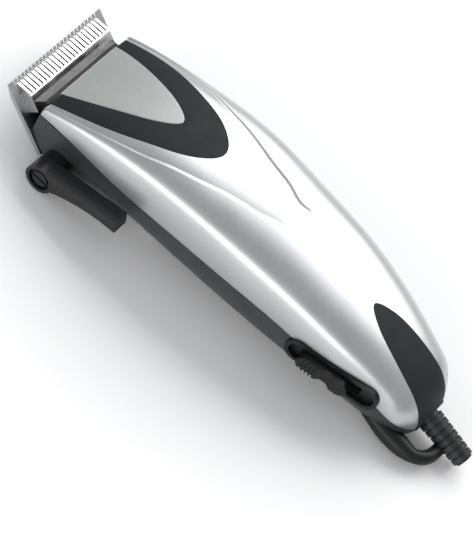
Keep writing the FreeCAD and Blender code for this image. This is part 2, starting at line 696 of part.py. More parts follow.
def make_motor():
    low = CORE_LOW
    centre = "core_start + core_length / 2"
    legs = [box("core_yoke_bar", ("core_length", "core_yoke", "core_stack"),
                ("core_start", f"{POLE} + {LEG}", low)),
            box("core_front_leg", ("core_leg", LEG, "core_stack"), ("core_start", POLE, low)),
            box("core_centre_leg", ("centre_leg", LEG, "core_stack"),
                (f"{centre} - centre_leg / 2", POLE, low)),
            box("core_rear_leg", ("core_leg", LEG, "core_stack"),
                ("core_start + core_length - core_leg", POLE, low))]
    screw_rooms = [rod(f"core_screw_room_{n}", "motor_screw_radius + fit_gap", "core_stack + 2",
                       (x, y, f"{low} - 1")) for n, (x, y) in enumerate(motor_screw_points())]
    piece("stator_core", less("stator_core_solid", joined("stator_core_blank", legs), screw_rooms))

    window = "(core_length - centre_leg) / 2 - core_leg"
    rise = f"{motor_height} - wall - coil_room"
    inner_x, inner_z = "centre_leg / 2 + fit_gap", "core_stack / 2 + fit_gap"
    outer_x = f"centre_leg / 2 + {window} - part_gap"

    def ring(name, half_x, half_z, hole_x, hole_z, y, depth):
        block = box(name + "_block", (f"2 * ({half_x})", depth, f"2 * ({half_z})"),
                    (f"{centre} - ({half_x})", y, f"{motor_height} - ({half_z})"))
        hole = box(name + "_hole", (f"2 * ({hole_x})", f"{depth} + 2", f"2 * ({hole_z})"),
                   (f"{centre} - ({hole_x})", f"{y} - 1", f"{motor_height} - ({hole_z})"))
        return less(name, block, [hole])

    tube_x, tube_z = f"{inner_x} + bobbin_wall", f"{inner_z} + bobbin_wall"
    tube = ring("bobbin_tube", tube_x, tube_z, inner_x, inner_z, f"{POLE} + 1", f"{LEG} - 1.1")
    cheeks = [ring(f"bobbin_cheek_{side}", outer_x, rise, inner_x, inner_z, y, "bobbin_wall")
              for side, y in (("front", f"{POLE} + 1"), ("back", f"{POLE} + {LEG} - bobbin_wall - 0.1"))]
    piece("coil_bobbin", joined("coil_bobbin_solid", [tube] + cheeks))
    piece("coil_winding", ring("coil_winding_solid", f"{outer_x} - 0.7", f"{rise} - 0.7", tube_x, tube_z,
                               f"{POLE} + 1 + bobbin_wall", f"{LEG} - 1.1 - 2 * bobbin_wall"))

    screws = []
    for n, (x, y) in enumerate(motor_screw_points()):
        shank = rod(f"motor_screw_shank_{n}", "motor_screw_radius", "core_stack + motor_screw_grip",
                    (x, y, f"{low} - motor_screw_grip"))
        head = rod(f"motor_screw_head_{n}", "2 * motor_screw_radius", "2", (x, y, f"{low} + core_stack"))
        slot = box(f"motor_screw_slot_{n}", ("8", "slot_width", "2"),
                   (x - 4, f"{y} - slot_width / 2", f"{low} + core_stack + 1.2"))
        screws.append(less(f"motor_screw_{n}", joined(f"motor_screw_blank_{n}", [shank, head]), [slot]))
    piece("motor_screws", group("motor_screws_group", screws))

    # armature on the swinging arm
    finger_level = size("cutter_height") + size("finger_height")
    socket = on_blade.multVec(V(value_of(f"{FOOT_START} + foot_wall"), 0, finger_level))
    finger_x = socket.x + (size("arm_tip_height") / 2 * math.sin(slope) + size("part_gap")) / math.cos(slope)
    half, half_tip = size("arm_height") / 2, size("arm_tip_height") / 2
    bend = -size("front_reach") + 21
    level = socket.z
    outline = [("arm_pivot - 2", motor_height + half), (bend, motor_height + half),
               (-size("front_reach") + 3, level + half_tip), (finger_x, level + half_tip),
               (finger_x, level - half_tip), (-size("front_reach") + 3, level - half_tip),
               (bend, motor_height - half), ("arm_pivot - 2", motor_height - half)]
    arm = padded("drive_arm_body", "XZ_Plane", outline, "arm_thickness")
    pivot = rod("arm_pivot_boss", "pivot_radius", "arm_height",
                ("arm_pivot", "0", f"{motor_height} - arm_height / 2"))
    piece("drive_arm", joined("drive_arm_solid", [arm, pivot]))
    block = box("armature_block", ("core_length", "armature_depth", "core_stack"),
                ("core_start", "arm_thickness / 2", low))
    piece("armature_core", block)


make_motor()


# ---- arm spring, power adjusting screw --------------------------------------------

def make_arm_mount():
    """The block that holds the arm's leaf spring, on a post from the floor."""
    low = f"{motor_height} - arm_height / 2"
    start = "(arm_pivot + pivot_radius + fit_gap)"
    end = "(arm_pivot + anchor_gap + anchor_length - 1)"
    anchor = box("anchor_block", ("anchor_length", "anchor_width", "arm_height"),
                 ("arm_pivot + anchor_gap", "-anchor_width / 2", low))
    stand = rod("anchor_stand", "anchor_length / 2", f"{low} - anchor_base",
                (ANCHOR_MIDDLE, "0", "anchor_base"))
    slit = box("anchor_slit", (f"{end} - {start}", "leaf_thickness", "arm_height + 2"),
               (start, "-leaf_thickness / 2", f"{low} - 1"))
    piece("spring_anchor", less("spring_anchor_solid", joined("anchor_blank", [anchor, stand]), [slit]))
    piece("leaf_spring", box("leaf_spring_strip", (f"{end} - {start}", "leaf_thickness", "arm_height - 1"),
                             (start, "-leaf_thickness / 2", f"{low} + 0.5")))


def make_power_screw():
    """A slotted screw square to the mid-plane, its head standing off the case."""
    x, z, radius, rise = (size(alias) for alias in (
        "power_screw_x", "power_screw_height", "power_screw_radius", "power_head_height"))
    seat = power_side + size("power_screw_shoulder")
    shank = Part.makeCylinder(radius, size("power_screw_length"), V(x, seat, z), -ACROSS)
    head = Part.makeCylinder(1.5 * radius, rise, V(x, seat + rise, z), -ACROSS)
    slot_width = size("slot_width")
    slot = Part.makeBox(4 * radius, rise, slot_width, V(x - 2 * radius, seat + rise - 0.8, z - slot_width / 2))
    piece("power_screw", solid("power_screw_solid", shank.fuse(head).cut(slot)))


make_arm_mount()
make_power_screw()


# ---- switch, in its own frame: X along the case, Z out of it ----------------------

def make_switch():
    opening_length = "knob_length + knob_travel + 2 * part_gap - 3"
    outer = stadium("bezel_plate", "bezel_length", "bezel_width", "bezel_depth + 1.2", "-bezel_depth")
    dish = stadium("bezel_dish", "bezel_length - 3", "bezel_width - 3", "4", "-0.6")
    window = box("bezel_window", (opening_length, "knob_width - 1.5 + 2 * part_gap", "10"),
                 (f"-({opening_length}) / 2", "-knob_width / 2 + 0.75 - part_gap", "-6"))
    piece("switch_bezel", settle(less("switch_bezel_solid", outer, [dish, window]), on_switch))

    # the knob rests at the front end of its travel: a ridged block, a notch, a rear block
    stem = box("knob_stem", ("knob_length - 3", "knob_width - 1.5", "4.2"),
               ("-knob_length / 2 - knob_travel / 2 + 1.5", "-knob_width / 2 + 0.75", "-4"))
    cap = stadium("knob_cap", "knob_length", "knob_width", "knob_height", "0")
    place(cap, ("-knob_travel / 2", "0", "0"))
    notch = rod("knob_notch", "3.4", "2 * knob_width",
                ("-knob_travel / 2 + 1.5", "knob_width", "knob_height + 1.9"), -ACROSS)
    grooves = [box(f"knob_groove_{i}", ("0.7", "2 * knob_width", "2"),
                   (f"-(knob_travel + knob_length) / 2 + {2.2 + 1.5 * i}", "-knob_width", "knob_height - 0.7"))
               for i in range(4)]
    piece("switch_knob", settle(less("switch_knob_solid", joined("knob_blank", [stem, cap]), [notch] + grooves),
                                on_switch))

    body = box("switch_body_block", ("24", "9", "6"), ("-12", "-4.5", "-bezel_depth - 7.2"))
    fork_room = box("switch_fork_room", ("knob_length + knob_travel", "knob_width", "2"),
                    ("-(knob_length + knob_travel) / 2", "-knob_width / 2", "-bezel_depth - 2.2"))
    piece("switch_body", settle(less("switch_body_solid", body, [fork_room]), on_switch))
    tab_end = size("tab_room") - switch_side
    tab_start = -size("bezel_depth") - 7.2
    tabs = [box(f"switch_tab_{i}", ("0.8", "4", tab_start - tab_end), (f"{-8 + 8 * i}", "-2", tab_end))
            for i in range(3)]
    piece("switch_terminals", settle(group("switch_terminals_group", tabs), on_switch))


make_switch()


# ---- cord sleeve, clamp, loop -----------------------------------------------------

RING_SHARE = 0.68   # share of the pitch that a ring of the sleeve fills


def make_sleeve():
    """A turned sleeve: a flanged neck held in the case, then a drooping ribbed tail."""
    length, root, end = size("sleeve_length"), size("sleeve_root_radius"), size("sleeve_end_radius")
    rings, bore, step = int(size("sleeve_rings")), size("sleeve_bore_radius"), size("ring_depth")
    inside, rim = size("flange_inside"), size("flange_thickness") - size("flange_inside")
    lead_in = root * math.tan(math.radians(size("sleeve_droop"))) + size("part_gap")
    outline = [V(-inside, 0, 0), V(-inside, 0, root + step), V(rim, 0, root + step), V(rim, 0, root - step),
               V(lead_in, 0, root - step)]
    pitch = (length - lead_in) / rings
    for ring in range(rings):
        start = lead_in + ring * pitch
        radius = root + (end - root) * ring / (rings - 1)
        outline += [V(start, 0, radius), V(start + RING_SHARE * pitch, 0, radius),
                    V(start + RING_SHARE * pitch, 0, radius - step), V(start + pitch, 0, radius - step)]
    outline += [V(length, 0, 0)]
    turned = Part.Face(Part.makePolygon(outline + [outline[0]])).revolve(V(0, 0, 0), ALONG, 360)
    sleeve = turned.cut(Part.makeCylinder(bore, length + inside + 2, V(-inside - 1, 0, 0), ALONG))
    piece("cord_sleeve", settle(solid("cord_sleeve_solid", sleeve), along_sleeve))


def rounded_path(points, radius):
    """Straight runs through the points, joined by tangent arcs."""
    edges, start = [], points[0]
    for before, corner, after in zip(points, points[1:], points[2:]):
        arrive, leave = (before - corner).normalize(), (after - corner).normalize()
        half_angle = arrive.getAngle(leave) / 2
        run = radius / math.tan(half_angle)
        first, last = corner + arrive * run, corner + leave * run
        middle = corner + (arrive + leave).normalize() * (radius / math.sin(half_angle) - radius)
        edges += [Part.makeLine(start, first), Part.Arc(first, middle, last).toShape()]
        start = last
    return Part.Wire(edges + [Part.makeLine(start, points[-1])])


def make_loop():
    """The hanging bar: out of the case's tail on the switch side, round, and in to the sleeve."""
    level, rear, side = size("loop_height"), size("rear_reach"), -size("loop_side")
    tail = V(rear - 6, side + 6, level)
    points = [tail, V(rear, side, level), V(rear + 9, side, level), V(rear + 9, 0, level)]
    path = rounded_path(points, 3.2)
    heading = (points[1] - points[0]).normalize()
    profile = Part.Wire([Part.makeCircle(size("loop_bar"), tail, heading)])
    bar = path.makePipeShell([profile], True, False)
    sleeve_cover = Part.makeCylinder(size("sleeve_root_radius") - size("ring_depth") / 2, size("sleeve_length"),
                                     V(0, 0, 0), ALONG)
    sleeve_cover.Placement = along_sleeve
    trimmed = bar.cut([case.Shape, pieces["cord_sleeve"].Shape, sleeve_cover])
    longest = max(trimmed.Solids, key=lambda s: s.Volume)
    piece("hanging_loop", solid("hanging_loop_solid", longest))


def make_clamp():
    middle = along_sleeve.multVec(V(-size("clamp_inside"), 0, 0))
    low, depth = middle.z - size("clamp_height") / 2, size("clamp_depth")
    bar = box("clamp_bar", ("clamp_depth", "clamp_width", "clamp_height"),
              (middle.x - depth / 2, "-clamp_width / 2", low))
    way = rod("clamp_way", "sleeve_bore_radius", "2 * clamp_depth",
              (f"{middle.x} - clamp_depth", "0", middle.z), ALONG)
    rooms = [rod(f"clamp_screw_room_{n}", "clamp_screw_radius + fit_gap", "clamp_height + 2",
                 (middle.x, y, low - 1)) for n, y in enumerate(CLAMP_SCREWS)]
    piece("cord_clamp", less("cord_clamp_solid", bar, [way] + rooms))
    screws = []
    for n, y in enumerate(CLAMP_SCREWS):
        shank = rod(f"clamp_screw_shank_{n}", "clamp_screw_radius", "clamp_height + clamp_screw_grip - 0.2",
                    (middle.x, y, f"{low} - clamp_screw_grip + 0.2"))
        head = rod(f"clamp_screw_head_{n}", "2 * clamp_screw_radius", "1.4",
                   (middle.x, y, f"{low} + clamp_height"))
        slot = box(f"clamp_screw_slot_{n}", ("3 * clamp_ear", "slot_width", "1"),
                   (f"{middle.x} - 1.5 * clamp_ear", f"{y} - slot_width / 2", f"{low} + clamp_height + 0.8"))
        screws.append(less(f"clamp_screw_{n}", joined(f"clamp_screw_blank_{n}", [shank, head]), [slot]))
    piece("clamp_screws", group("clamp_screws_group", screws))


make_sleeve()
make_clamp()
make_loop()

# ---- checks and files -------------------------------------------------------------

doc.recompute()
failed = [item.Label for item in doc.Objects if "Invalid" in item.State or "Error" in item.State]
for name, item in pieces.items():
    if item.Shape.isNull() or not item.Shape.isValid() or not item.Shape.Solids:
        failed.append(name)
if failed:
    raise RuntimeError("these did not build: " + ", ".join(failed))

os.makedirs("parts", exist_ok=True)
for name, item in pieces.items():
    item.Shape.exportStep(os.path.join("parts", name + ".step"))
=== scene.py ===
import json
import math

import bmesh
import bpy
import numpy as np
from mathutils import Matrix, Vector


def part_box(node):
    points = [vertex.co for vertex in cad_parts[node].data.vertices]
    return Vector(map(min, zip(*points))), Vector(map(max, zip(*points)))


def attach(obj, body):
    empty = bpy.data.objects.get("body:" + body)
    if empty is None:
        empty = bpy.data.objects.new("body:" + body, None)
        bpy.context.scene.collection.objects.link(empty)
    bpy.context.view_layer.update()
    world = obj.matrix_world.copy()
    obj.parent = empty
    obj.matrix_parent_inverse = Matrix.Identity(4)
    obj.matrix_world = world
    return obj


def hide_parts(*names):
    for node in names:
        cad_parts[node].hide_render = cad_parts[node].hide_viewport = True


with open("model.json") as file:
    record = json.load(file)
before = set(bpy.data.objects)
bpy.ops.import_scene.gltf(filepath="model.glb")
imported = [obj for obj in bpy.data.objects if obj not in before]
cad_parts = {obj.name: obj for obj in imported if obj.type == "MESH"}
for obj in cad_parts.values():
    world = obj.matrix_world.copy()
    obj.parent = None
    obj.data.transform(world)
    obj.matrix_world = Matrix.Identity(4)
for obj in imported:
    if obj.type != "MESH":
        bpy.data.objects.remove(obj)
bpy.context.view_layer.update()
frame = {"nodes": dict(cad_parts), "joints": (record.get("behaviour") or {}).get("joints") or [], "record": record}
MM = 0.001
front_edge, rear_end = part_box("lower_housing")[0].x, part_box("lower_housing")[1].x
BODY_WIDTH = 52 * MM
BODY_HEIGHT = 41.1 * MM

# ---- camera: a long lens above the switch side, the blade to the upper left ----------
VIEW_AZIMUTH = math.radians(9.2)
VIEW_ELEVATION = math.radians(54.5)
VIEW_ROLL = math.radians(35.3)
VIEW_FIELD = 186.3 * MM          # height of the view where the clipper lies
AIM = Vector((7.1, -19.8, 20.0)) * MM
LENS = 210.0                     # on the 36 mm long side


def make_camera():
    """A camera that looks at AIM along the view direction, rolled about it."""
    back = Vector((math.sin(VIEW_AZIMUTH) * math.cos(VIEW_ELEVATION),
                   -math.cos(VIEW_AZIMUTH) * math.cos(VIEW_ELEVATION), math.sin(VIEW_ELEVATION)))
    data = bpy.data.cameras.new("camera")
    data.lens = LENS
    data.clip_end = 20
    camera = bpy.data.objects.new("camera", data)
    bpy.context.scene.collection.objects.link(camera)
    camera.location = AIM + back * (VIEW_FIELD * LENS / data.sensor_width)
    upright = (-back).to_track_quat("-Z", "Y").to_matrix()
    camera.rotation_euler = (upright @ Matrix.Rotation(VIEW_ROLL, 3, "Z")).to_euler()
    bpy.context.scene.camera = camera


make_camera()

# ---- finishes ------------------------------------------------------------------------


class Finish:
    """A node material on Object coordinates, built up one layer at a time."""

    def __init__(self, name, rough, metal=0.0, specular=0.5, coat=0.0, coat_rough=0.1):
        self.material = bpy.data.materials.new(name)
        self.material.use_nodes = True
        self.nodes = self.material.node_tree.nodes
        self.links = self.material.node_tree.links
        self.shader = self.nodes["Principled BSDF"]
        self.shader.inputs["Roughness"].default_value = rough
        self.shader.inputs["Metallic"].default_value = metal
        self.shader.inputs["Specular IOR Level"].default_value = specular
        self.shader.inputs["Coat Weight"].default_value = coat
        self.shader.inputs["Coat Roughness"].default_value = coat_rough
        self.place = self.nodes.new("ShaderNodeTexCoord").outputs["Object"]
        self.height = None

    def stretched(self, scale, turn=(0, 0, 0)):
        """The coordinates with each axis scaled, after a turn in degrees."""
        mapping = self.nodes.new("ShaderNodeMapping")
        mapping.vector_type = "TEXTURE"
        mapping.inputs["Rotation"].default_value = [math.radians(a) for a in turn]
        mapping.inputs["Scale"].default_value = scale
        self.links.new(self.place, mapping.inputs["Vector"])
        return mapping.outputs["Vector"]

    def noise(self, grain, detail=4.0, place=None):
        """Cloudy noise with features about one grain across, in metres."""
        node = self.nodes.new("ShaderNodeTexNoise")
        node.inputs["Scale"].default_value = 1 / grain
        node.inputs["Detail"].default_value = detail
        self.links.new(place or self.place, node.inputs["Vector"])
        return node.outputs["Fac"]

    def bands(self, pitch, axis, place=None):
        """Straight bands one pitch apart, across the named axis."""
        node = self.nodes.new("ShaderNodeTexWave")
        node.bands_direction = axis
        node.inputs["Scale"].default_value = 0.314159 / pitch
        self.links.new(place or self.place, node.inputs["Vector"])
        return node.outputs["Fac"]

    def ramp(self, value, stops):
        """Colours between the stops, each a place from 0 to 1 and a colour."""
        node = self.nodes.new("ShaderNodeValToRGB")
        self.links.new(value, node.inputs["Fac"])
        marks = node.color_ramp.elements
        while len(marks) < len(stops):
            marks.new(1.0)
        for mark, (at, colour) in zip(marks, stops):
            mark.position, mark.color = at, (*colour, 1)
        return node.outputs["Color"]

    def colour(self, value, stops):
        """Sets the base colour from the value."""
        self.links.new(self.ramp(value, stops), self.shader.inputs["Base Color"])
        return self

    def roughness(self, value, low, high):
        """Sets the roughness from low to high as the value goes through the middle of its range."""
        node = self.nodes.new("ShaderNodeMapRange")
        node.inputs["From Min"].default_value, node.inputs["From Max"].default_value = 0.3, 0.7
        node.inputs["To Min"].default_value, node.inputs["To Max"].default_value = low, high
        self.links.new(value, node.inputs["Value"])
        self.links.new(node.outputs["Result"], self.shader.inputs["Roughness"])
        return self

    def relief(self, value, depth, strength=1.0):
        """Raises and lowers the surface by up to the depth, in metres, on top of earlier relief."""
        node = self.nodes.new("ShaderNodeBump")
        node.inputs["Distance"].default_value = depth
        node.inputs["Strength"].default_value = strength
        self.links.new(value, node.inputs["Height"])
        if self.height is not None:
            self.links.new(self.height, node.inputs["Normal"])
        self.height = node.outputs["Normal"]
        self.links.new(self.height, self.shader.inputs["Normal"])
        return self


def around(colour, spread):
    """Three stops from a little darker to a little lighter than the colour."""
    dark, light = ([min(c * k, 1) for c in colour] for k in (1 - spread, 1 + spread))
    return [(0.3, dark), (0.5, colour), (0.7, light)]


def painted_silver(name):
    """Silver lacquer: metal flake in a pale base under a thin clear coat, a little mottled."""
    made = Finish(name, 0.36, metal=0.82, coat=0.25, coat_rough=0.18)
    flake = made.noise(0.00018, 2)
    made.colour(flake, around((0.50, 0.512, 0.524), 0.07))
    made.roughness(made.noise(0.011, 3), 0.33, 0.39)
    return made.relief(flake, 0.000004).relief(made.noise(0.02, 2), 0.00003).material


def soft_touch(name, colour, rough, grain=0.0004, depth=0.00001, gloss=0.5):
    """Moulded plastic with a fine spark-eroded grain and faint handling marks."""
    made = Finish(name, rough, specular=gloss)
    grains = made.noise(grain, 3)
    made.colour(made.noise(0.009, 4), around(colour, 0.14))
    made.roughness(made.noise(0.006, 3), rough - 0.05, rough + 0.07)
    return made.relief(grains, depth).material


def satin_metal(name):
    """Satin grey panel: a fine even grain brushed along the case."""
    made = Finish(name, 0.42, metal=0.35, specular=0.45)
    brushed = made.noise(0.0006, 3, made.stretched((9, 1, 1)))
    made.colour(brushed, around((0.40, 0.42, 0.41), 0.05))
    made.roughness(made.noise(0.008, 2), 0.40, 0.47)
    return made.relief(brushed, 0.000004).material


def cut_steel(name, colour, rough, grain=0.00012, along=(1, 18, 1), turn=(0, 38, 0), mottle=0.12):
    """Ground steel: long fine scratches in one direction, and a faint cloud of oil."""
    made = Finish(name, rough, metal=1.0)
    scratches = made.noise(grain, 3, made.stretched(along, turn))
    made.colour(scratches, around(colour, mottle))
    made.roughness(made.noise(0.004, 3), rough - 0.06, rough + 0.1)
    return made.relief(scratches, 0.000006).material


def laminated(name):
    """A stack of varnished core plates, seen as fine bands up its height."""
    made = Finish(name, 0.55, metal=0.6)
    plates = made.bands(0.0007, "Z")
    made.colour(plates, [(0.0, (0.05, 0.05, 0.052)), (0.35, (0.22, 0.22, 0.225)), (1.0, (0.30, 0.30, 0.31))])
    return made.relief(plates, 0.00008).relief(made.noise(0.002), 0.00002).material


def wound_wire(name):
    """Enamelled copper wire wound side by side along Y, its colour painted with shade in the grooves between
    windings and a highlight on their crowns.
    """
    made = Finish(name, 0.3, metal=0.9)
    turns_with_groove_shade = made.bands(0.0004, "Y")
    # painted shade in the grooves between windings, copper between, and a painted highlight on the crowns
    made.colour(turns_with_groove_shade, [(0.0, (0.12, 0.03, 0.01)), (0.5, (0.55, 0.19, 0.06)), (1.0, (0.72, 0.30, 0.12))])
    return made.relief(turns_with_groove_shade, 0.00012).material


def ribbed_rubber(name):
    """Matt black rubber with a soft bloom in its hollows."""
    made = Finish(name, 0.55, specular=0.4)
    made.colour(made.noise(0.003, 4), around((0.014, 0.0145, 0.016), 0.25))
    made.roughness(made.noise(0.0015, 4), 0.45, 0.62)
    return made.relief(made.noise(0.0005, 3), 0.00002).material


FINISHES = {
    "silver_shell": painted_silver("silver_lacquer"),
    "charcoal_inlay": soft_touch("charcoal_inlay", (0.013, 0.0165, 0.018), 0.55, depth=0.000012,
                                 gloss=0.2),
    "satin_plate": satin_metal("satin_panel"),
    "dark_housing": soft_touch("dark_housing", (0.026, 0.0275, 0.029), 0.40, depth=0.00002),
    "black_plastic": soft_touch("black_plastic", (0.006, 0.0065, 0.007), 0.42, depth=0.000012, gloss=0.3),
    "lever_plastic": soft_touch("lever_plastic", (0.009, 0.0095, 0.0105), 0.36, grain=0.0006,
                                depth=0.000008, gloss=0.4),
    "natural_plastic": soft_touch("natural_plastic", (0.62, 0.60, 0.54), 0.45, gloss=0.4),
    "sleeve_rubber": ribbed_rubber("sleeve_rubber"),
    "ground_blade": cut_steel("ground_blade", (0.42, 0.425, 0.43), 0.34),
    "polished_blade": cut_steel("polished_blade", (0.80, 0.80, 0.79), 0.2, mottle=0.05),
    "plated_screw": cut_steel("plated_screw", (0.62, 0.63, 0.64), 0.28, 0.0004, (1, 1, 1), (0, 0, 0)),
    "spring_steel": cut_steel("spring_steel", (0.50, 0.51, 0.52), 0.3, 0.0003, (1, 1, 8), (0, 0, 0)),
    "core_steel": laminated("core_plates"),
    "copper_wire": wound_wire("copper_winding"),
    "brass_tab": cut_steel("brass_tab", (0.72, 0.52, 0.24), 0.3, 0.0003, (1, 1, 6), (0, 0, 0)),
}

# The foot takes the darkest black plastic, darker than its own kind: painted shade of the mouth under the shell
# where it sits. The screw in the lever takes the lever's black plastic, darker than its own kind.
PAINTED_SHADE_AND_DARKER = {"drive_foot": FINISHES["black_plastic"], "lever_screw": FINISHES["lever_plastic"]}

slots = {row["node"]: row["material_slot"] for row in frame["record"]["subparts"]}
for node, item in frame["nodes"].items():
    item.data.materials.clear()
    item.data.materials.append(PAINTED_SHADE_AND_DARKER.get(node, FINISHES[slots[node]]))

# ---- floor and light -----------------------------------------------------------------


def soft_light(name, place, width, length, power, aim=(0, 0, 0.02)):
    """A rectangular lamp at the place, turned towards the aim."""
    data = bpy.data.lights.new(name, "AREA")
    data.shape, data.size, data.size_y, data.energy = "RECTANGLE", width, length, power
    lamp = bpy.data.objects.new(name, data)
    bpy.context.scene.collection.objects.link(lamp)
    lamp.location = place
    lamp.rotation_euler = (Vector(aim) - Vector(place)).to_track_quat("-Z", "Y").to_euler()


def make_room():
    """A pale surround, two soft lamps and a white floor."""
    world = bpy.data.worlds.new("room")
    world.use_nodes = True
    world.node_tree.nodes["Background"].inputs["Color"].default_value = (0.97, 0.98, 1.0, 1)
    world.node_tree.nodes["Background"].inputs["Strength"].default_value = 0.47
    bpy.context.scene.world = world
    bpy.context.scene.view_settings.view_transform = "Standard"
    soft_light("back_light", (0.0, 0.75, 0.75), 1.3, 0.7, 11.0)
    soft_light("side_light", (-0.05, -0.9, 0.28), 1.3, 0.3, 5.0)
    mesh = bpy.data.meshes.new("floor")
    half = 1.5
    corners = [(-half, -half, 0), (half, -half, 0), (half, half, 0), (-half, half, 0)]
    mesh.from_pydata(corners, [], [(0, 1, 2, 3)])
    floor = bpy.data.objects.new("floor", mesh)
    bpy.context.scene.collection.objects.link(floor)
    white = Finish("floor_white", 0.7)
    white.colour(white.noise(0.4, 1), around((0.95, 0.95, 0.95), 0.01))
    floor.data.materials.append(white.material)


make_room()

# ---- grids made into pieces ------------------------------------------------------------


def quads(rows, cols, first=0):
    """Corner numbers of the cells of a grid whose points are numbered row by row."""
    at = first + np.arange(rows * cols).reshape(rows, cols)
    return np.stack([at[:-1, :-1], at[1:, :-1], at[1:, 1:], at[:-1, 1:]], -1).reshape(-1, 4)


def piece_from(name, points, cells, body, slot, stands_for=(), closed=True):
    """A smooth-shaded piece from points and four-cornered cells, its doubled points merged.

    An open sheet keeps the way its cells face, which the grid gives it."""
    mesh = bpy.data.meshes.new(name)
    mesh.vertices.add(len(points))
    mesh.vertices.foreach_set("co", np.ascontiguousarray(points, np.float32).ravel())
    mesh.loops.add(cells.size)
    mesh.loops.foreach_set("vertex_index", np.ascontiguousarray(cells, np.int32).ravel())
    mesh.polygons.add(len(cells))
    mesh.polygons.foreach_set("loop_start", np.arange(0, cells.size, 4, dtype=np.int32))
    mesh.update(calc_edges=True)
    work = bmesh.new()
    work.from_mesh(mesh)
    bmesh.ops.remove_doubles(work, verts=work.verts, dist=1e-6)
    bmesh.ops.dissolve_degenerate(work, edges=work.edges, dist=1e-7)
    if closed:
        bmesh.ops.recalc_face_normals(work, faces=work.faces)
    work.to_mesh(mesh)
    work.free()
    mesh.polygons.foreach_set("use_smooth", np.ones(len(mesh.polygons), bool))
    made = bpy.data.objects.new(name, mesh)
    bpy.context.scene.collection.objects.link(made)
    mesh.materials.append(FINISHES[slot])
    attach(made, body)
    if stands_for:
        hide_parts(*stands_for)
    return made


def slab(top, under):
    """Points and cells of the solid between two grids of one size, with walls along all four borders."""
    rows, cols = top.shape[:2]
    count = rows * cols
    at = np.arange(count).reshape(rows, cols)
    border = np.concatenate([at[0, :-1], at[:-1, -1], at[-1, :0:-1], at[:0:-1, 0]])
    after = np.roll(border, -1)
    walls = np.stack([border, after, after + count, border + count], -1)
    points = np.concatenate([top.reshape(-1, 3), under.reshape(-1, 3)])
    return points, np.concatenate([quads(rows, cols), quads(rows, cols, count)[:, ::-1], walls])


def curve_through(places, values):
    """The cubic spline through the values, with its third derivative even over the end spans."""
    places, values = np.asarray(places, float), np.asarray(values, float)
    step, slope = np.diff(places), np.diff(values) / np.diff(places)
    count = len(places)
    system, right = np.zeros((count, count)), np.zeros(count)
    inner = np.arange(1, count - 1)
    system[inner, inner - 1], system[inner, inner + 1] = step[:-1], step[1:]
    system[inner, inner] = 2 * (step[:-1] + step[1:])
    right[inner] = 6 * (slope[1:] - slope[:-1])
    system[0, :3] = step[1], -step[0] - step[1], step[0]
    system[-1, -3:] = step[-1], -step[-1] - step[-2], step[-2]
    bend = np.linalg.solve(system, right)

    def at(x):
        i = np.clip(np.searchsorted(places, x) - 1, 0, count - 2)
        h, a, b = step[i], places[i + 1] - x, x - places[i]
        return (bend[i] * a ** 3 + bend[i + 1] * b ** 3) / (6 * h) + (
            values[i] / h - bend[i] * h / 6) * a + (values[i + 1] / h - bend[i + 1] * h / 6) * b

    return at


def rise(value, low, high):
    """0 below low, 1 above high, and an even S between them."""
    t = np.clip((value - low) / (high - low), 0, 1)
    return t * t * (3 - 2 * t)


# ---- the shell's form ------------------------------------------------------------------

# One row a station: share of the reach before or behind the origin, half width as a share
# of the width, crown and parting as shares of the height, and how square the shoulders are.
STATIONS = np.array([
    (-1.000, 0.462, 0.569, 0.462, 5.0), (-0.772, 0.481, 0.774, 0.489, 4.4),
    (-0.544, 0.496, 0.910, 0.499, 3.9), (-0.203, 0.500, 1.000, 0.540, 3.9),
    (0.071, 0.481, 1.000, 0.547, 3.3), (0.333, 0.452, 0.956, 0.538, 3.2),
    (0.595, 0.400, 0.847, 0.472, 3.0), (0.857, 0.317, 0.645, 0.375, 3.0),
    (0.960, 0.245, 0.490, 0.294, 2.6), (1.000, 0.150, 0.375, 0.235, 2.2)])


def reach(share):
    """Place along the case of a share of its front or rear reach."""
    return np.where(np.asarray(share) > 0, np.asarray(share) * rear_end, -np.asarray(share) * front_edge)


station_places = reach(STATIONS[:, 0])
side_at = curve_through(station_places, STATIONS[:, 1] * BODY_WIDTH)
crown_at = curve_through(station_places, STATIONS[:, 2] * BODY_HEIGHT)
seam_at = curve_through(station_places, STATIONS[:, 3] * BODY_HEIGHT)
pull_at = curve_through(station_places, (8 * 2 ** (-1 / STATIONS[:, 4]) - 4) / 3)


def across(t, pull):
    """Share of the half width at t, a Bezier quarter from the seam (t = 0) to the crown (t = 1)."""
    return (1 - t) ** 3 + 3 * (1 - t) ** 2 * t + 3 * (1 - t) * t ** 2 * pull


def up(t, pull):
    """Share of the rise from seam to crown at t, on the same Bezier quarter."""
    return 3 * (1 - t) ** 2 * t * pull + 3 * (1 - t) * t ** 2 + t ** 3


def form_around(x, v):
    """Points of the shell's plain form: v runs from -1 at the switch-side seam over the crown to 1."""
    t, pull = 1 - np.abs(v), pull_at(x)
    y = np.sign(v) * side_at(x) * across(t, pull)
    z = seam_at(x) + (crown_at(x) - seam_at(x)) * up(t, pull)
    return np.stack([x, y, z], -1)


def form_over(x, y):
    """Height of the plain form over a point: t is halved in on until its width share is that of y."""
    share, pull = np.clip(np.abs(y) / side_at(x), 0, 1), pull_at(x)
    low, high = np.zeros_like(share), np.ones_like(share)
    for _ in range(30):
        middle = (low + high) / 2
        wide = across(middle, pull) > share
        low, high = np.where(wide, middle, low), np.where(wide, high, middle)
    return seam_at(x) + (crown_at(x) - seam_at(x)) * up((low + high) / 2, pull)


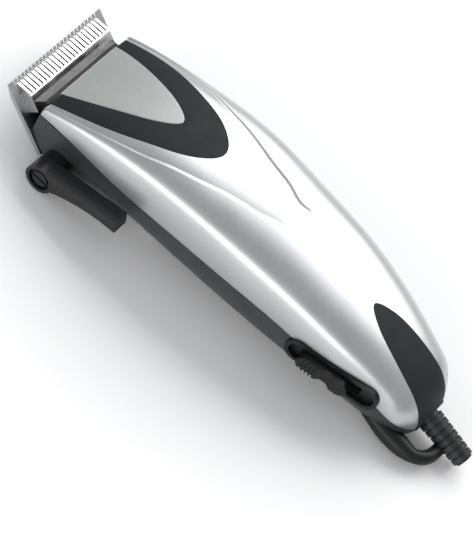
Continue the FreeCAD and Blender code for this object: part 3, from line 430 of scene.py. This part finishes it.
# Half widths of the leaf-shaped crease that runs back from the front corners, in millimetres.
LEAF = np.array([(-84, 21.9), (-76.5, 22.3), (-69.5, 22.4), (-60.2, 21.9), (-51, 20.8), (-41.8, 19.4),
                 (-32.7, 17.0), (-23.6, 14.8), (-14.6, 12.0), (-5.5, 9.8), (-1.1, 8.8), (7.8, 6.5),
                 (11.8, 3.0), (13.0, -3.0)]) * MM
leaf_at = curve_through(LEAF[:, 0], LEAF[:, 1])
LEAF_DROP = 0.55 * MM


def leaf_relief(x, y):
    """A fold: the skin drops just inside the crease and comes back up over the next few millimetres."""
    inside = leaf_at(np.clip(x, LEAF[0, 0], LEAF[-1, 0])) - np.abs(y)
    fade = 1 - rise(x, 2 * MM, 14 * MM)
    drop = rise(inside, -0.25 * MM, 0.45 * MM) * np.exp(-np.clip(inside, 0, None) / (5.5 * MM))
    return -LEAF_DROP * (0.4 + 0.6 * fade) * drop * (x < LEAF[-1, 0])


def facing(points):
    """Unit normals of a grid of points, from the cross of its two directions."""
    along, over = np.gradient(points, axis=0), np.gradient(points, axis=1)
    normal = np.cross(along, over)
    return normal / np.maximum(np.linalg.norm(normal, axis=-1, keepdims=True), 1e-12)


# ---- switch frame ----------------------------------------------------------------------

slide_joint = [j for j in frame["joints"] if j["name"] == "switch_slide"][0]
switch_along = np.array(slide_joint["axis"], float)
bezel_low, bezel_high = (np.array(c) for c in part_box("switch_bezel"))
switch_middle = (bezel_low + bezel_high) / 2
BEZEL_HALF = np.array((18.5, 5.25)) * MM
BEZEL_RIM = 0.85 * MM


def in_bezel(points):
    """How far a point lies inside the middle of the bezel's slot-shaped rim."""
    along = np.abs((points - switch_middle) @ switch_along)
    high = points[..., 2] - switch_middle[2]
    over = np.clip(along - (BEZEL_HALF[0] - BEZEL_HALF[1]), 0, None)
    return BEZEL_HALF[1] - BEZEL_RIM - np.hypot(over, high)


# ---- silver shell ------------------------------------------------------------------------

WALL = 1.8 * MM
LIP = 0.5 * MM
SWITCH_ROOM = 3.6 * MM           # how far the skin drops inside the bezel
FRONT_TUCK = 0.25 * MM
SEAM_TUCK = 0.22 * MM


def silver_shell():
    """The form carried along the case, folded along the leaf crease, with a tucked lip at the seam.

    Rows go from the front edge to the rear end, closer together at both ends, and then shrink to a
    point over the end face. Columns go from seam to seam, with one more at each side turned in."""
    rows, cols = 330, 189
    even = np.linspace(0, 1, rows)
    x = front_edge + (rear_end - front_edge) * (even - 0.055 * np.sin(4 * np.pi * even) / np.pi)
    v = np.linspace(-1, 1, cols)
    grid_x, grid_v = np.meshgrid(x, v, indexing="ij")
    points = form_around(grid_x, grid_v)
    normal = facing(points)
    lift = leaf_relief(points[..., 0], points[..., 1])
    from_switch = np.abs((points - switch_middle) @ switch_along)
    near_switch = (points[..., 1] < 0) & (from_switch < 2 * BEZEL_HALF[0])
    lift -= SWITCH_ROOM * rise(in_bezel(points), -0.3 * MM, 0.3 * MM) * near_switch
    lift -= FRONT_TUCK * (1 - rise(points[..., 0] - front_edge, 0, 0.6 * MM))
    lift -= SEAM_TUCK * (1 - rise(1 - np.abs(grid_v), 0, 0.012))
    points = points + normal * lift[..., None]
    inward = np.array((0, LIP, -0.9 * LIP))
    left, right = points[:, :1] + inward, points[:, -1:] + inward * (1, -1, 1)
    points = np.concatenate([left, points, right], axis=1)
    centre = np.array((rear_end + 0.25 * MM, 0, seam_at(rear_end) + 1.5 * MM))
    shrink = np.array((0.985, 0.93, 0.6, 0.25, 0.0))[:, None, None]
    cap = centre + (points[-1:] - centre) * shrink
    points = np.concatenate([points, cap], axis=0)
    shell = piece_from("silver_shell", points.reshape(-1, 3), quads(*points.shape[:2]), "housing",
                       "silver_shell", ["upper_shell"], closed=False)
    wall = shell.modifiers.new("wall", "SOLIDIFY")
    wall.thickness, wall.offset, wall.use_even_offset = WALL, -1, False


silver_shell()

# ---- pieces let into the shell ---------------------------------------------------------

INLAY_DEPTH = 0.9 * MM
RIM_WIDTH = 0.9 * MM             # strip at each side that holds the rolled edge
RIM_ROLL = 0.55 * MM
FAR = 9.0                        # added to a distance where an end has no rolled edge


def outline_curve(points):
    """Spline through a symmetric outline given from tip to end; returns its X and Y from the tip on."""
    x, y = reach(points[:, 0]), points[:, 1] * BODY_WIDTH / 2
    x, y = np.concatenate([x[:0:-1], x]), np.concatenate([-y[:0:-1], y])
    run = np.concatenate([[0], np.cumsum(np.hypot(np.diff(x), np.diff(y)))])
    run -= run[-1] / 2
    return curve_through(run, x), curve_through(run, y), run[-1]


def inlay_patch(name, slot, outline, proud, rows, cols, end, stands_for, turn_down=0.0):
    """A patch that follows the form over y = v times the outline's half width.

    u runs along the outline from its tip to the end of the case, v across. The rim is rolled over
    within a fraction of a millimetre and its walls go down into the shell."""
    curve_x, curve_y, last = outline_curve(np.array(outline))
    run = np.linspace(0, last, 2000)
    inside = (curve_x(run) - end) * np.sign(end) < 0
    last = run[inside].max()
    u = np.linspace(0, 1, rows) ** 1.15
    roll = np.array((0, 0.10, 0.25, 0.5, 0.9)) * MM
    half = curve_y(np.maximum(u, 1e-4) * last)
    inner = np.linspace(-1, 1, cols)
    width = np.maximum(half[:, None] - RIM_WIDTH, half[:, None] * 0.3)
    squeeze = np.minimum(1, half[:, None] * 0.7 / RIM_WIDTH)
    share = np.concatenate([-half[:, None] + roll[:-1] * squeeze, inner * width,
                            half[:, None] - roll[-2::-1] * squeeze], axis=1)
    x = np.broadcast_to(curve_x(u * last)[:, None], share.shape)
    z = form_over(x, share)
    top = np.stack([x, share, z], -1)
    step = 0.05 * MM
    slope_x = (form_over(x + step, share) - form_over(x - step, share)) / (2 * step)
    slope_y = (form_over(x, share + step) - form_over(x, share - step)) / (2 * step)
    normal = np.stack([-slope_x, -slope_y, np.ones_like(x)], -1)
    normal /= np.linalg.norm(normal, axis=-1, keepdims=True)
    from_side = half[:, None] - np.abs(share)
    from_tip = np.abs(x - curve_x(0.0))
    from_end = np.abs(x - end)
    edge = np.minimum(np.minimum(from_side, from_tip * 2), from_end + (FAR if turn_down else 0))
    roll_off = np.sqrt(np.clip(1 - (1 - np.clip(edge / RIM_ROLL, 0, 1)) ** 2, 0, 1))
    lift = leaf_relief(x, share) + proud - 0.28 * MM * (1 - roll_off)
    under = top - normal * INLAY_DEPTH
    top = top + normal * lift[..., None]
    if turn_down:
        drop = np.linspace(0, 1, 9)[1:, None, None]
        bend = np.sin(drop * np.pi / 2)
        edge_x, edge_y, edge_z = (top[-1:, :, k:k + 1] for k in range(3))
        fallen = edge_z - (edge_z - turn_down) * drop ** 1.6
        down = np.concatenate([edge_x + RIM_ROLL * bend ** 0.5, np.broadcast_to(edge_y, fallen.shape), fallen], -1)
        top = np.concatenate([top, down], axis=0)
        under = np.concatenate([under, down - np.array((INLAY_DEPTH * 1.4, 0, 0))], axis=0)
    points, cells = slab(top, under)
    return piece_from(name, points, cells, "housing", slot, stands_for)


HEAD_OUTLINE = ((-0.298, 0), (-0.41, 0.396), (-0.527, 0.546), (-0.70, 0.704), (-0.88, 0.781),
                (-1.05, 0.80))
PLATE_OUTLINE = ((-0.525, 0), (-0.582, 0.18), (-0.70, 0.342), (-0.878, 0.508), (-1.05, 0.60))
TAIL_OUTLINE = ((0.55, 0), (0.617, 0.165), (0.72, 0.254), (0.871, 0.312), (1.03, 0.30))
inlay_patch("head_inlay", "charcoal_inlay", HEAD_OUTLINE, 0.10 * MM, 150, 90, front_edge, ["head_insert"])
inlay_patch("head_panel", "satin_plate", PLATE_OUTLINE, 0.24 * MM, 110, 70, front_edge - 0.05 * MM,
            ["head_plate"])
inlay_patch("tail_inlay", "charcoal_inlay", TAIL_OUTLINE, 0.10 * MM, 110, 50, rear_end, ["rear_insert"],
            turn_down=seam_at(rear_end) + 0.2 * MM)

# ---- hanging loop -----------------------------------------------------------------------


def swept(path, radii, rings, sides):
    """A round bar: circles carried along a spline through the path's points, closed at both ends.

    Each ring stands square to the path, and its radius runs evenly from one point's to the next."""
    path = np.array(path, float)
    run = np.concatenate([[0], np.cumsum(np.linalg.norm(np.diff(path, axis=0), axis=1))])
    s = np.linspace(0, run[-1], rings)
    middle = np.stack([curve_through(run, path[:, k])(s) for k in range(3)], -1)
    ahead = np.gradient(middle, axis=0)
    ahead /= np.linalg.norm(ahead, axis=1, keepdims=True)
    level = np.cross((0, 0, 1), ahead)
    level /= np.linalg.norm(level, axis=1, keepdims=True)
    upright = np.cross(ahead, level)
    turn = np.linspace(0, 2 * np.pi, sides + 1)[None, :, None]
    radius = np.interp(s, run, radii)[:, None, None]
    rim = middle[:, None] + radius * np.cos(turn) * level[:, None] + radius * np.sin(turn) * upright[:, None]
    ends = [np.repeat(middle[k][None, None], sides + 1, axis=1) for k in (0, -1)]
    return np.concatenate([ends[0], rim, ends[1]], axis=0)


def hanging_eye():
    """The bar that leaves the housing's tail, thickens, turns round and ends in the sleeve."""
    path = np.array([(64, -11.5, 7.0), (71, -12.6, 6.0), (78, -13.2, 5.3), (84, -13.4, 5.0),
                     (89.5, -12.6, 4.7), (93, -9.3, 4.6), (94, -4.5, 4.7), (94, -0.5, 6.0)]) * MM
    radii = np.array((2.6, 3.2, 3.8, 3.6, 2.6, 2.6, 2.4, 2.2)) * MM
    points = swept(path, radii, 70, 40)
    piece_from("hanging_eye", points.reshape(-1, 3), quads(*points.shape[:2]), "housing", "black_plastic",
               ["hanging_loop"])


hanging_eye()
